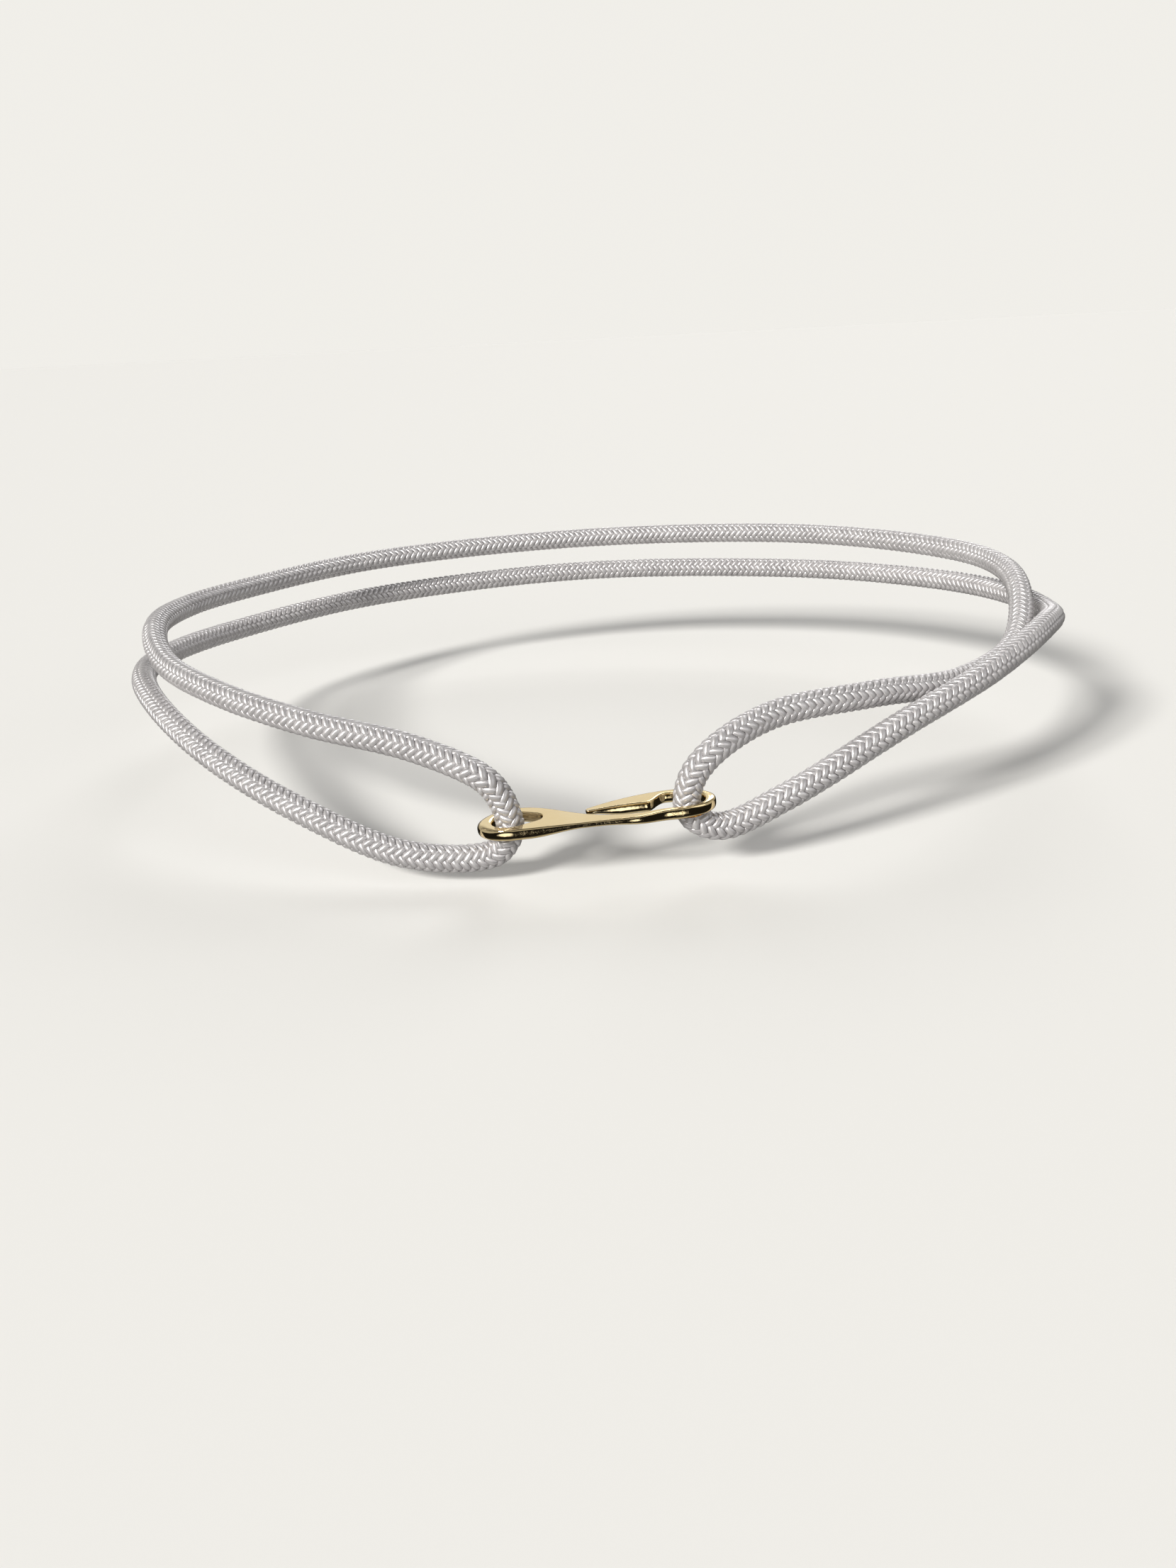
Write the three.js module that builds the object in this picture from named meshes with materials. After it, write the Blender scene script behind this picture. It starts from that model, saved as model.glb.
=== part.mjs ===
// A rope belt: one endless white braided rope, doubled round the waist, and a gold hook clasp.
// The left end of the doubled rope passes through the closed eye of the clasp, and the right end
// is hooked in its open seat. Millimetres. +Z is up, -Y is the front, +X is to the right as seen
// from the front. The origin is the middle of the waist that the belt goes round.
import * as THREE from 'three';

// Rope
const ROPE_DIAMETER = 7.2;
const ROPE_SIDES = 10;
const STEPS_PER_POINT = 7;

// The waist that the belt goes round, and how fast it widens below the belt
const WAIST_WIDTH = 276;
const WAIST_DEPTH = 192;
const FLARE_AT_SIDES = 0.4;
const FLARE_AT_FRONT = 0.25;

// Where the clasp sits: below the belt's level at the sides, and forward of the rope's line
const CLASP_DROP = 20.5;
const CLASP_FORWARD = 4.9;
const CLASP_TILT_DEG = -3.5;

// Clasp plate
const PLATE_LENGTH = 60;
const PLATE_THICKNESS = 3;
const EDGE_ROUNDING = 0.5;
const EDGE_ROUNDING_STEPS = 2;
const CURVE_STEPS = 12;
const ROPE_CLEARANCE = 1;
const EYE_SLOT_LENGTH = 12.6;
const EYE_TIP_RADIUS = 2.3;
const EYE_END_WALL = 3.9;
const EYE_SIDE_WALL = 2.3;
const SEAT_SET_BACK = 1.4;
const SEAT_FRONT_WALL = 1.6;
const SEAT_BACK_WALL = 2;
const SEAT_END_WALL = 2.8;
const SHANK_WIDTH = 2.7;
const SHANK_RELIEF = 1.4;
const CHANNEL_WIDTH = 5.9;
const TONGUE_LENGTH = 24.4;
const TONGUE_TIP_RADIUS = 0.9;
const TONGUE_TIP_THICKNESS = 1.4;
const TONGUE_TAPER = 9;
const TONGUE_DROOP = 0.6;

// Along the plate: the oval round the eye takes this share of its length up to its widest place
const EYE_OVAL_SHARE = 0.158;
// Places along the hook, counted from the middle of the seat towards the eye, in hole radii
const HOOK = { start: 0.67, mouth: 1.05, tongueEnd: 2.2, neckStart: 2.85, shankEnd: 3.2 };
// The back edge of the tongue is drawn towards these two places, the far one at a share of the
// hook's back edge
const TONGUE_BACK = { near: 2.3, far: 4.1, height: 0.66 };

const halfLength = PLATE_LENGTH / 2;
const holeRadius = ROPE_DIAMETER / 2 + ROPE_CLEARANCE;
const eye = { x: -halfLength + EYE_END_WALL + holeRadius, y: 0 };
const seat = { x: halfLength - SEAT_END_WALL - holeRadius, y: SEAT_SET_BACK };
const eyeHalfWidth = holeRadius + EYE_SIDE_WALL;
const shankBack = -eyeHalfWidth + SHANK_WIDTH;
const tongueFront = shankBack + CHANNEL_WIDTH;
const tongueTip = { x: seat.x - TONGUE_LENGTH, y: tongueFront - TONGUE_DROOP };

// The rope's way, listed from the front to the back on each side. turn is the share of a full turn
// from the front; level is the height, as a share of the clasp's drop; off is how far the rope
// stands off the waist, as a share of the rope's diameter.
const LEFT_SIDE = [
  { turn: 0.050, upper: { level: -0.18, off: 0.61 }, lower: { level: -1.47, off: 0.61 } },
  { turn: 0.085, upper: { level: 0.02, off: 0.44 }, lower: { level: -1.06, off: 0.41 } },
  { turn: 0.125, upper: { level: 0.19, off: 0.20 }, lower: { level: -0.61, off: 0.23 } },
  { turn: 0.170, upper: { level: 0.33, off: 0.01 }, lower: { level: -0.26, off: 0.02 } },
  { turn: 0.215, upper: { level: 0.52, off: -0.22 }, lower: { level: -0.17, off: -0.17 } },
  { turn: 0.265, upper: { level: 0.48, off: -0.56 }, lower: { level: -0.26, off: -0.44 } },
  { turn: 0.320, upper: { level: 0.42, off: -0.72 }, lower: { level: -0.34, off: -0.50 } },
  { turn: 0.400, upper: { level: 0.44, off: -0.39 }, lower: { level: -0.30, off: -0.22 } },
];
const RIGHT_SIDE = [
  { turn: 0.050, upper: { level: -0.02, off: 0.56 }, lower: { level: -0.96, off: 0.89 } },
  { turn: 0.085, upper: { level: 0.00, off: 0.28 }, lower: { level: -0.34, off: 1.21 } },
  { turn: 0.125, upper: { level: -0.13, off: 0.11 }, lower: { level: 0.07, off: 1.44 } },
  { turn: 0.170, upper: { level: -0.01, off: -0.03 }, lower: { level: 0.28, off: 1.37 } },
  { turn: 0.215, upper: { level: 0.44, off: -0.06 }, lower: { level: 0.08, off: 0.83 } },
  { turn: 0.265, upper: { level: 0.56, off: -0.08 }, lower: { level: 0.01, off: 0.22 } },
  { turn: 0.320, upper: { level: 0.56, off: -0.30 }, lower: { level: -0.08, off: -0.11 } },
  { turn: 0.400, upper: { level: 0.54, off: -0.28 }, lower: { level: -0.18, off: -0.06 } },
];
const BACK = { turn: 0.5, upper: { level: 0.47, off: -0.17 }, lower: { level: -0.22, off: -0.06 } };

// The rope's bends next to the clasp, in rope diameters from the middle of each hole: out is along
// the plate, up is through it and back is towards the waist.
const EYE_BENDS = {
  within: { out: -0.04, up: 0, back: 0 },
  above: [{ out: -0.25, up: 1.03, back: 0.09 }, { out: -0.76, up: 1.78, back: 0.17 }],
  below: [{ out: -0.22, up: -0.56, back: 0.03 }, { out: -0.82, up: -1.09, back: 0.12 }],
};
const SEAT_BENDS = {
  within: { out: 0.01, up: 0, back: 0 },
  above: [{ out: 0.27, up: 0.94, back: 0.01 }, { out: 1.06, up: 1.77, back: 0.14 }],
  below: [{ out: 0.23, up: -0.57, back: 0.01 }, { out: 1.14, up: -1.02, back: 0.06 }],
};

const gold = new THREE.MeshStandardMaterial({ color: 0xd8ae5c, roughness: 0.12, metalness: 1 });
const silkyWhite = new THREE.MeshStandardMaterial({ color: 0xe2dcda, roughness: 0.35, metalness: 0 });

// The eye is a drop-shaped hole: round at the rope, tapering towards the middle of the plate.
function eyeHole() {
  const tipX = eye.x - holeRadius + EYE_SLOT_LENGTH - EYE_TIP_RADIUS;
  const spread = Math.acos((holeRadius - EYE_TIP_RADIUS) / (tipX - eye.x));
  const hole = new THREE.Path();
  hole.absarc(eye.x, eye.y, holeRadius, spread, 2 * Math.PI - spread, false);
  hole.absarc(tipX, eye.y, EYE_TIP_RADIUS, -spread, spread, false);
  hole.closePath();
  return hole;
}

// Draws a smooth step that starts and ends along the plate. leave and arrive are the shares of its
// length over which it is pulled straight at each end.
function stepTo(outline, x, y, leave = 0.45, arrive = 0.45) {
  const from = outline.currentPoint;
  const length = x - from.x;
  outline.bezierCurveTo(from.x + leave * length, from.y, x - arrive * length, y, x, y);
}

// Seen from above: an oval round the eye, a shank along the front edge, and a hook whose tongue
// runs back along the shank. Between them lies the channel that the rope is pushed through.
function plateOutline() {
  const fromSeat = (share) => seat.x - share * holeRadius;
  const front = seat.y - holeRadius;
  const back = seat.y + holeRadius;
  const hookHalfWidth = holeRadius + (SEAT_FRONT_WALL + SEAT_BACK_WALL) / 2;
  const hookMiddle = seat.y + (SEAT_BACK_WALL - SEAT_FRONT_WALL) / 2;
  const hookBack = back + SEAT_BACK_WALL;
  const hookStart = fromSeat(HOOK.start);
  const eyeRun = EYE_OVAL_SHARE * PLATE_LENGTH;
  const eyeMiddle = -halfLength + eyeRun;

  const outline = new THREE.Shape();
  outline.moveTo(-halfLength, 0);
  outline.absellipse(eyeMiddle, 0, eyeRun, eyeHalfWidth, Math.PI, 1.5 * Math.PI, false);
  outline.lineTo(fromSeat(HOOK.shankEnd), -eyeHalfWidth);
  stepTo(outline, hookStart, front - SEAT_FRONT_WALL);
  outline.absellipse(
    hookStart, hookMiddle, halfLength - hookStart, hookHalfWidth, -Math.PI / 2, Math.PI / 2, false);
  outline.bezierCurveTo(
    fromSeat(TONGUE_BACK.near), hookBack, fromSeat(TONGUE_BACK.far), TONGUE_BACK.height * hookBack,
    tongueTip.x, tongueTip.y + TONGUE_TIP_RADIUS);
  outline.absarc(tongueTip.x, tongueTip.y, TONGUE_TIP_RADIUS, Math.PI / 2, 1.5 * Math.PI, false);
  stepTo(outline, fromSeat(HOOK.tongueEnd), tongueFront, 0.15, 0.6);
  stepTo(outline, fromSeat(HOOK.mouth), back);
  outline.lineTo(seat.x, back);
  outline.absarc(seat.x, seat.y, holeRadius, Math.PI / 2, -Math.PI / 2, true);
  outline.lineTo(fromSeat(HOOK.mouth), front);
  stepTo(outline, fromSeat(HOOK.neckStart), shankBack);
  stepTo(outline, eyeMiddle, eyeHalfWidth, 0.5, 0.35);
  outline.absellipse(eyeMiddle, 0, eyeRun, eyeHalfWidth, Math.PI / 2, Math.PI, false);
  outline.holes.push(eyeHole());
  return outline;
}

// The top face is flat. Underneath, the plate is thinner in two places: the shank between the two
// holes, and the tongue towards its tip.
function shapedHeight(x, y, z) {
  const rise = THREE.MathUtils.smoothstep;
  const tongueReach = tongueTip.x - 1.1 * TONGUE_TIP_RADIUS;
  const onTongue = y > (shankBack + tongueFront) / 2 && x > tongueReach;
  const toTip = 1 - rise(x, tongueTip.x, tongueTip.x + TONGUE_TAPER);
  const pastEye = rise(x, eye.x + holeRadius, eye.x + 4 * holeRadius);
  const beforeSeat = 1 - rise(x, seat.x - 4.7 * holeRadius, seat.x - 0.6 * holeRadius);
  const nearFront = 1 - rise(y, shankBack, shankBack + SHANK_WIDTH);
  const tongueLift = (PLATE_THICKNESS - TONGUE_TIP_THICKNESS) * toTip;
  const shankLift = SHANK_RELIEF * pastEye * beforeSeat * nearFront;
  const lift = onTongue ? tongueLift : shankLift;
  const top = PLATE_THICKNESS / 2;
  return top - (top - z) * (1 - lift / PLATE_THICKNESS);
}

function hookClasp() {
  const geometry = new THREE.ExtrudeGeometry(plateOutline(), {
    depth: PLATE_THICKNESS - 2 * EDGE_ROUNDING,
    bevelEnabled: true,
    bevelThickness: EDGE_ROUNDING,
    bevelSize: EDGE_ROUNDING,
    bevelOffset: -EDGE_ROUNDING,
    bevelSegments: EDGE_ROUNDING_STEPS,
    curveSegments: CURVE_STEPS,
  });
  geometry.translate(0, 0, EDGE_ROUNDING - PLATE_THICKNESS / 2);
  const place = geometry.attributes.position;
  for (let i = 0; i < place.count; i += 1) {
    place.setZ(i, shapedHeight(place.getX(i), place.getY(i), place.getZ(i)));
  }
  geometry.computeVertexNormals();
  const plate = new THREE.Mesh(geometry, gold);
  plate.name = 'hook_clasp';
  const frontLine = (WAIST_DEPTH + ROPE_DIAMETER) / 2 + FLARE_AT_FRONT * CLASP_DROP;
  plate.position.set(0, -frontLine - CLASP_FORWARD, -CLASP_DROP);
  plate.rotation.y = THREE.MathUtils.degToRad(CLASP_TILT_DEG);
  plate.updateMatrixWorld(true);
  return plate;
}

// A point of the rope beside the waist; side is -1 on the left and 1 on the right.
function beside(turn, { level, off }, side) {
  const angle = 2 * Math.PI * turn;
  const height = level * CLASP_DROP;
  const stand = (0.5 + off) * ROPE_DIAMETER;
  const halfWidth = WAIST_WIDTH / 2 - FLARE_AT_SIDES * height + stand;
  const halfDepth = WAIST_DEPTH / 2 - FLARE_AT_FRONT * height + stand;
  return new THREE.Vector3(side * halfWidth * Math.sin(angle), -halfDepth * Math.cos(angle), height);
}

// A point of the rope next to a hole of the clasp.
function byHole(plate, hole, { out, up, back }) {
  const d = ROPE_DIAMETER;
  return plate.localToWorld(new THREE.Vector3(hole.x + out * d, hole.y + back * d, up * d));
}

// Steps of the tube follow the listed points, which lie close together in the bends by the clasp.
class RopeLine extends THREE.CatmullRomCurve3 {
  getPointAt(t, target) {
    return this.getPoint(t, target);
  }

  getTangentAt(t, target) {
    return this.getTangent(t, target);
  }
}

// Up through the eye, round the back, down through the seat, and round the back again.
function ropeRoute(plate) {
  const left = (strand) => LEFT_SIDE.map((row) => beside(row.turn, row[strand], -1));
  const right = (strand) => RIGHT_SIDE.map((row) => beside(row.turn, row[strand], 1));
  const bends = (hole, list) => list.map((row) => byHole(plate, hole, row));
  return [
    byHole(plate, eye, EYE_BENDS.within),
    ...bends(eye, EYE_BENDS.above),
    ...left('upper'),
    beside(BACK.turn, BACK.upper, 1),
    ...right('upper').reverse(),
    ...bends(seat, SEAT_BENDS.above).reverse(),
    byHole(plate, seat, SEAT_BENDS.within),
    ...bends(seat, SEAT_BENDS.below),
    ...right('lower'),
    beside(BACK.turn, BACK.lower, 1),
    ...left('lower').reverse(),
    ...bends(eye, EYE_BENDS.below).reverse(),
  ];
}

// The rope has no ends, so the tube closes on itself.
function ropeLoop(plate) {
  const points = ropeRoute(plate);
  const line = new RopeLine(points, true, 'centripetal');
  const steps = points.length * STEPS_PER_POINT;
  const geometry = new THREE.TubeGeometry(line, steps, ROPE_DIAMETER / 2, ROPE_SIDES, true);
  const rope = new THREE.Mesh(geometry, silkyWhite);
  rope.name = 'rope_loop';
  return rope;
}

const group = new THREE.Group();
const clasp = hookClasp();
group.add(clasp, ropeLoop(clasp));

export default group;
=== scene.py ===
# %% [markdown]
# # A white rope belt with a gold hook clasp
# One endless braided rope is doubled round the waist. Its left end goes through the closed eye of a
# flat gold clasp, and its right end is hooked in the clasp's open seat. This lesson makes the braid
# as real yarns that pass over and under each other, and the clasp as one polished plate.

# %% Load the frame
import math

import bmesh
import bpy
from mathutils import Matrix, Vector
from mathutils.geometry import tessellate_polygon


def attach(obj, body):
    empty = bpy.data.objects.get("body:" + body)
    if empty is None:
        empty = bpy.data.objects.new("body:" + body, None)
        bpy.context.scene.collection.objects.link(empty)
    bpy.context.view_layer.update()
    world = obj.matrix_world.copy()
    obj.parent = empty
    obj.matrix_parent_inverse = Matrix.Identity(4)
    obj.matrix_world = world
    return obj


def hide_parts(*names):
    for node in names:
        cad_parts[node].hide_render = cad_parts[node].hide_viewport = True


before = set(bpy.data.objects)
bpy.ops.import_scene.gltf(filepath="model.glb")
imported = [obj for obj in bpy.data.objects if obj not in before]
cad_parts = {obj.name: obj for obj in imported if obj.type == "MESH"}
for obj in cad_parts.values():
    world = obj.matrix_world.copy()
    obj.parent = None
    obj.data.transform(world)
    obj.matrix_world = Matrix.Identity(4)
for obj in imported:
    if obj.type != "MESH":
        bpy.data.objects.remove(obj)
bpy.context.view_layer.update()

MM = 0.001


def new_object(name, data):
    """Makes an object of its data and puts it in the scene."""
    item = bpy.data.objects.new(name, data)
    bpy.context.scene.collection.objects.link(item)
    return item


def triangles_in(mesh):
    return sum(len(p.vertices) - 2 for p in mesh.polygons)


# %% [markdown]
# ## The camera
# The belt was looked at from the front and a little above, with the camera turned a few degrees
# about its own line of sight. A camera's axes can be written down as three directions: to the
# right, up, and back towards the eye. Writing them as a matrix is exact, where angles typed by
# hand would mix the tilt and the turn.

# %% Place the camera
CAMERA_AT = Vector((-1.8, -377.1, 98.9)) * MM
CAMERA_PITCH = math.radians(22.5)
CAMERA_ROLL = math.radians(3.0)
LENS_MM, SENSOR_MM = 27.0, 36.0
NEAREST = 0.01

ahead = Vector((0, math.cos(CAMERA_PITCH), -math.sin(CAMERA_PITCH)))
below = Vector((0, -math.sin(CAMERA_PITCH), -math.cos(CAMERA_PITCH)))
level = Vector((1, 0, 0))
to_right = math.cos(CAMERA_ROLL) * level + math.sin(CAMERA_ROLL) * below
to_top = math.sin(CAMERA_ROLL) * level - math.cos(CAMERA_ROLL) * below
camera_data = bpy.data.cameras.new("camera")
camera_data.lens = LENS_MM
camera_data.sensor_width = SENSOR_MM
camera_data.clip_start = NEAREST
camera = new_object("camera", camera_data)
turn = Matrix((to_right, to_top, -ahead)).transposed().to_4x4()
camera.matrix_world = Matrix.Translation(CAMERA_AT) @ turn
bpy.context.scene.camera = camera
print("camera at", [round(v, 3) for v in camera.location])

# %% [markdown]
# ## The rope's way
# The rope rises through the eye, goes round the back, comes down through the seat and goes round
# the back again. Its middle line is given by a few stations: the share of a turn from the front,
# the height as a share of how far the clasp hangs down, and how far the rope stands off the waist
# in rope diameters. A smooth curve through the stations does the rest, so the belt could be
# resized by changing the few sizes at the top.

# %% The sizes of the belt
ROPE_DIAMETER = 7.2
WAIST_WIDTH, WAIST_DEPTH = 276.0, 192.0
FLARE_AT_SIDES, FLARE_AT_FRONT = 0.40, 0.25
CLASP_DROP, CLASP_FORWARD = 20.5, 4.9
CLASP_TILT = math.radians(3.5)
PLATE_LENGTH, PLATE_THICKNESS = 60.0, 3.0
ROPE_CLEARANCE = 1.0
HOLE_RADIUS = ROPE_DIAMETER / 2 + ROPE_CLEARANCE
EYE_END_WALL, SEAT_END_WALL, SEAT_SET_BACK = 3.9, 2.8, 1.4
EYE = Vector((-PLATE_LENGTH / 2 + EYE_END_WALL + HOLE_RADIUS, 0, 0))
SEAT = Vector((PLATE_LENGTH / 2 - SEAT_END_WALL - HOLE_RADIUS, SEAT_SET_BACK, 0))

front_line = (WAIST_DEPTH + ROPE_DIAMETER) / 2 + FLARE_AT_FRONT * CLASP_DROP
plate_at = Matrix.Translation((0, -front_line - CLASP_FORWARD, -CLASP_DROP))
plate_at = plate_at @ Matrix.Rotation(-CLASP_TILT, 4, "Y")
print("clasp's middle, mm:", [round(v, 1) for v in plate_at.translation])

# %% The stations beside the waist
# share of a turn, then the height and the stand-off of the upper strand and of the lower one
LEFT_SIDE = [
    (0.050, (-0.18, 0.61), (-1.47, 0.61)),
    (0.085, (0.02, 0.44), (-1.06, 0.41)),
    (0.125, (0.19, 0.20), (-0.61, 0.23)),
    (0.170, (0.33, 0.01), (-0.26, 0.02)),
    (0.215, (0.52, -0.22), (-0.17, -0.17)),
    (0.265, (0.48, -0.56), (-0.26, -0.44)),
    (0.320, (0.42, -0.72), (-0.34, -0.50)),
    (0.400, (0.44, -0.39), (-0.30, -0.22)),
]
RIGHT_SIDE = [
    (0.050, (-0.02, 0.56), (-0.96, 0.89)),
    (0.085, (0.00, 0.28), (-0.34, 1.21)),
    (0.125, (-0.13, 0.11), (0.07, 1.44)),
    (0.170, (-0.01, -0.03), (0.28, 1.37)),
    (0.215, (0.44, -0.06), (0.08, 0.83)),
    (0.265, (0.56, -0.08), (0.01, 0.22)),
    (0.320, (0.56, -0.30), (-0.08, -0.11)),
    (0.400, (0.54, -0.28), (-0.18, -0.06)),
]
BACK = (0.500, (0.47, -0.17), (-0.22, -0.06))
UPPER, LOWER = 1, 2


def beside(row, strand, side):
    """A point of the rope beside the waist; side is -1 on the left and 1 on the right."""
    angle = 2 * math.pi * row[0]
    height = row[strand][0] * CLASP_DROP
    stand = (0.5 + row[strand][1]) * ROPE_DIAMETER
    half_width = WAIST_WIDTH / 2 - FLARE_AT_SIDES * height + stand
    half_depth = WAIST_DEPTH / 2 - FLARE_AT_FRONT * height + stand
    return Vector((side * half_width * math.sin(angle), -half_depth * math.cos(angle), height))


print("stations on each side:", len(LEFT_SIDE))

# %% The bends by the clasp
# out along the plate, back towards the waist and up through the plate, in rope diameters
EYE_BENDS = {
    "within": (-0.04, 0, 0),
    "above": [(-0.25, 0.09, 1.03), (-0.76, 0.17, 1.78)],
    "below": [(-0.22, 0.03, -0.56), (-0.82, 0.12, -1.09)],
}
SEAT_BENDS = {
    "within": (0.01, 0, 0),
    "above": [(0.27, 0.01, 0.94), (1.06, 0.14, 1.77)],
    "below": [(0.23, 0.01, -0.57), (1.14, 0.06, -1.02)],
}


def by_hole(hole, bend):
    return plate_at @ (hole + ROPE_DIAMETER * Vector(bend))


def leg(hole, bends, name):
    return [by_hole(hole, bend) for bend in bends[name]]


def round_the_back(strand):
    left = [beside(row, strand, -1) for row in LEFT_SIDE]
    right = [beside(row, strand, 1) for row in RIGHT_SIDE]
    return left + [beside(BACK, strand, 1)] + right[::-1]


in_eye, in_seat = by_hole(EYE, EYE_BENDS["within"]), by_hole(SEAT, SEAT_BENDS["within"])
upper_way = leg(EYE, EYE_BENDS, "above") + round_the_back(UPPER)
upper_way += leg(SEAT, SEAT_BENDS, "above")[::-1]
lower_way = leg(EYE, EYE_BENDS, "below") + round_the_back(LOWER)
lower_way += leg(SEAT, SEAT_BENDS, "below")[::-1]
loop = [in_eye] + upper_way + [in_seat] + lower_way[::-1]
print("stations in the closed loop:", len(loop))

# %% A smooth line through the stations
LINE_STEPS = 24


def smooth_loop(points, steps):
    """The centripetal Catmull-Rom curve through a closed ring of points."""
    line = []
    for i, p1 in enumerate(points):
        p0, p2, p3 = points[i - 1], points[(i + 1) % len(points)], points[(i + 2) % len(points)]
        d0, d1, d2 = [math.sqrt((b - a).length) for a, b in ((p0, p1), (p1, p2), (p2, p3))]
        t1 = ((p1 - p0) / d0 - (p2 - p0) / (d0 + d1) + (p2 - p1) / d1) * d1
        t2 = ((p2 - p1) / d1 - (p3 - p1) / (d1 + d2) + (p3 - p2) / d2) * d1
        for step in range(steps):
            u = step / steps
            line.append(
                p1 * (2 * u**3 - 3 * u**2 + 1) + t1 * (u**3 - 2 * u**2 + u)
                + p2 * (3 * u**2 - 2 * u**3) + t2 * (u**3 - u**2)
            )
    return line


whole = smooth_loop(loop, LINE_STEPS)
seat_step = (len(upper_way) + 1) * LINE_STEPS
upper_line = whole[:seat_step + 1]
lower_line = (whole[seat_step:] + [whole[0]])[::-1]


def length_of(line):
    return sum((b - a).length for a, b in zip(line, line[1:]))


print("strands, mm:", [round(length_of(line)) for line in (upper_line, lower_line)])

# %% [markdown]
# ## Shared shading
# Real yarn and real metal are never one even colour. A small shader group gives a slow, soft
# mottling from noise on the object's own coordinates, so it stays put when the view changes.
# A group is worth making because the yarn, the rope's core and the gold all use it.

# %% A soft mottling
def add_node(tree, kind, at=(0, 0), inputs=None, **settings):
    """Adds a node at a place in the editor; inputs gives the values of its own sockets."""
    node = tree.nodes.new(kind)
    node.location = at
    for name, value in settings.items():
        setattr(node, name, value)
    for name, value in (inputs or {}).items():
        node.inputs[name].default_value = value
    return node


def join(tree, *links):
    """Links nodes; each row names a node, its output, the next node and that one's input."""
    for node, output, onward, socket in links:
        tree.links.new(node.outputs[output], onward.inputs[socket])


def add_ramp(tree, stops, at):
    """A colour ramp with its stops, from the lowest position to the highest."""
    node = add_node(tree, "ShaderNodeValToRGB", at)
    elements = node.color_ramp.elements
    while len(elements) > 1:
        elements.remove(elements[-1])
    elements[0].position, elements[0].color = stops[0]
    for position, colour in stops[1:]:
        elements.new(position).color = colour
    return node


def mottling_group():
    group = bpy.data.node_groups.new("soft mottling", "ShaderNodeTree")
    for name, value in (("Scale", 60.0), ("Dark", 0.0), ("Light", 1.0)):
        socket = group.interface.new_socket(name, in_out="INPUT", socket_type="NodeSocketFloat")
        socket.default_value = value
    group.interface.new_socket("Value", in_out="OUTPUT", socket_type="NodeSocketFloat")
    start = add_node(group, "NodeGroupInput", (-700, 0))
    end = add_node(group, "NodeGroupOutput", (300, 0))
    where = add_node(group, "ShaderNodeTexCoord", (-700, -200))
    noise = add_node(group, "ShaderNodeTexNoise", (-450, 0), {"Detail": 3.0})
    spread = add_node(group, "ShaderNodeMapRange", (-200, 0), {"From Min": 0.3, "From Max": 0.7})
    join(
        group,
        (where, "Object", noise, "Vector"),
        (start, "Scale", noise, "Scale"),
        (noise, "Fac", spread, "Value"),
        (start, "Dark", spread, "To Min"),
        (start, "Light", spread, "To Max"),
        (spread, "Result", end, "Value"),
    )
    return group


MOTTLING = mottling_group()


def mottling(tree, scale, dark, light, at):
    """The group at work in a material; its output is called Value."""
    looks = {"Scale": scale, "Dark": dark, "Light": light}
    return add_node(tree, "ShaderNodeGroup", at, looks, node_tree=MOTTLING)


def new_material(name):
    material = bpy.data.materials.new(name)
    material.use_nodes = True
    return material, material.node_tree, material.node_tree.nodes["Principled BSDF"]


print("group made:", MOTTLING.name)

# %% [markdown]
# ## Silky yarn
# Each yarn is a bundle of fine shiny filaments. Seen close, it has hair-thin lines along it, and
# its sheen runs along it in streaks. The lines could be modelled, but they are finer than a tenth
# of a millimetre, so a bump from noise drawn out along the yarn is the better way. The streaks are
# the shader's own: its anisotropy stretches a highlight along the direction that a Tangent node
# gives. Noise and tangent both read the yarn's own lengthwise and crosswise positions, which every
# float carries as a UV map.
# The rope's core under the floats is the same white yarn, but its colour is painted dark: it is
# painted shade for the narrow gaps between the floats.

# %% The yarn's material
YARN_STOPS = [(0, (0.485, 0.465, 0.471, 1)), (1, (0.655, 0.635, 0.637, 1))]
# the core's colours are painted shade: white yarn made dark where it shows in the gaps between the
# floats
CORE_SHADE_STOPS = [(0, (0.22, 0.20, 0.20, 1)), (1, (0.34, 0.31, 0.31, 1))]
LINES_DRAWN_OUT = (0.9, 9.0, 1.0)
TONE_SHARE, SEED_SPREAD = 0.45, 40.0


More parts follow.
